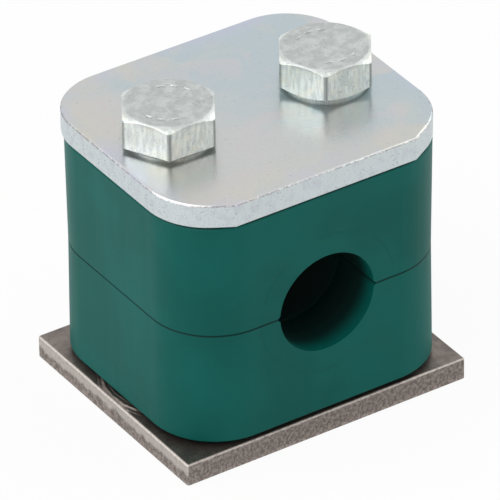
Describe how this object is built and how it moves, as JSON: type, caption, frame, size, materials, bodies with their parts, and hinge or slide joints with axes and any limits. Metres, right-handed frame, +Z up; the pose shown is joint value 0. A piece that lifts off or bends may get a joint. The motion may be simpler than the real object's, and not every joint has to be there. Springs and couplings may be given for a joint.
{
  "type": "hydraulic hose clamp",
  "caption": "Two-part moulded hose clamp body with a round bore, held by hex bolts between a sheared weld plate and a zinc plated cover plate.",
  "frame": {"origin": "centre of the weld plate's underside, which is also the bottom centre of the whole clamp", "axes": "+Z up from the weld plate to the bolt heads, +Y along the hose bore away from the mouth that the picture shows, +X along the line of the two bolts"},
  "size_m": [0.036, 0.0302, 0.0377],
  "materials": {
    "bare_steel": "bare hot rolled steel, sheared edges, oily grey brown",
    "green_polypropylene": "satin moulded polypropylene, dark blue green",
    "cover_zinc": "bright zinc plate, blue passivated",
    "bolt_zinc": "zinc plate over forged and trimmed steel"
  },
  "bodies": {
    "root": {"weld_plate": "bare_steel", "lower_clamp_half": "green_polypropylene", "upper_clamp_half": "green_polypropylene", "cover_plate": "cover_zinc", "left_bolt": "bolt_zinc", "right_bolt": "bolt_zinc"}
  },
  "joints": []
}
